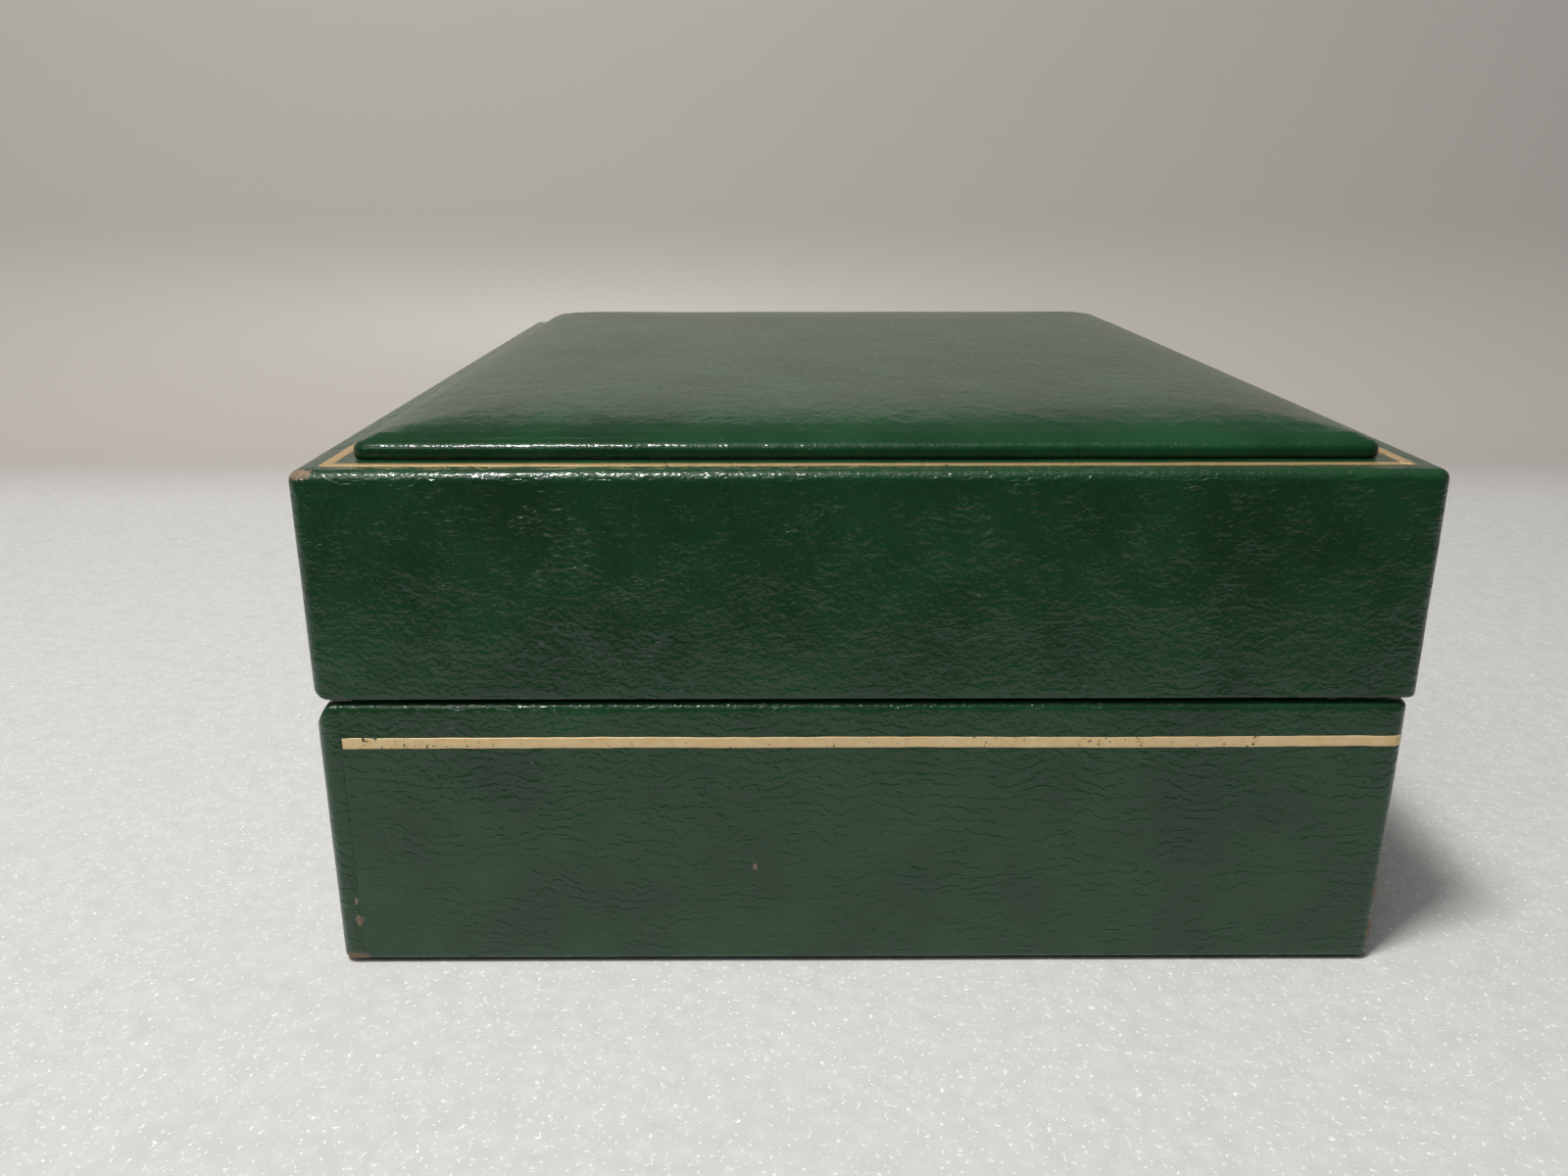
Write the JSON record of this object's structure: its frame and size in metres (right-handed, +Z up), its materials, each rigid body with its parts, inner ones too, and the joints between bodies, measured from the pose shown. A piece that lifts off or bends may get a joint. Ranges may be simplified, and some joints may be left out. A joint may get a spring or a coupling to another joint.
{
  "type": "watch box",
  "caption": "Hinged watch box in dark green leather over wood, with a padded lid, gold lines, a velour insert with a loose watch cushion, and a concealed hinge.",
  "frame": {"origin": "centre of the box's footprint, on the face it rests on", "axes": "+Z up, X along the long side, hinge at +Y, opening side at -Y"},
  "size_m": [0.1372, 0.115, 0.0594],
  "materials": {
    "wood": "sanded",
    "pad_leather": "glossy",
    "green_leather": "glossy, creased",
    "gold_foil": "worn foil",
    "card": "matte",
    "underside_cloth": "felt",
    "foam": "open foam",
    "brass": "drawn",
    "steel": "spring temper",
    "ribbon": "satin",
    "velour": "velour",
    "ceiling_velour": "velour"
  },
  "bodies": {
    "base": {"base_front_wall": "wood", "base_back_wall": "wood", "base_left_end": "wood", "base_right_end": "wood", "base_floor_board": "wood", "base_leather": "green_leather", "base_back_leather": "green_leather", "base_gold_line": "gold_foil", "base_infill_card": "card", "base_underside_cloth": "underside_cloth", "base_front_lining": "velour", "base_back_lining": "velour", "base_left_lining": "velour", "base_right_lining": "velour", "base_floor_lining": "velour", "insert_rest_left": "wood", "insert_rest_right": "wood", "insert_deck_board": "card", "insert_deck_velour": "velour", "insert_well_liner": "velour", "insert_pull_ribbon": "ribbon", "cushion_foam": "foam", "cushion_cover": "velour", "hinge_base_leaf": "brass", "hinge_base_screws": "brass", "hinge_pin": "steel", "hinge_snap_springs": "steel"},
    "lid": {"lid_front_wall": "wood", "lid_back_wall": "wood", "lid_left_end": "wood", "lid_right_end": "wood", "lid_top_board": "wood", "lid_leather": "green_leather", "lid_gold_frame": "gold_foil", "lid_pad_board": "card", "lid_pad_foam": "foam", "lid_pad_leather": "pad_leather", "lid_front_lining": "velour", "lid_back_lining": "velour", "lid_left_lining": "velour", "lid_right_lining": "velour", "lid_ceiling_board": "card", "lid_ceiling_pad": "ceiling_velour", "hinge_lid_leaf": "brass", "hinge_lid_screws": "brass"}
  },
  "joints": [
    {"name": "lid_hinge", "type": "hinge", "parent": "base", "child": "lid", "pos_m": [0, 0.056, 0.0312], "axis": [-1, 0, 0], "range_deg": [0, 92]}
  ]
}
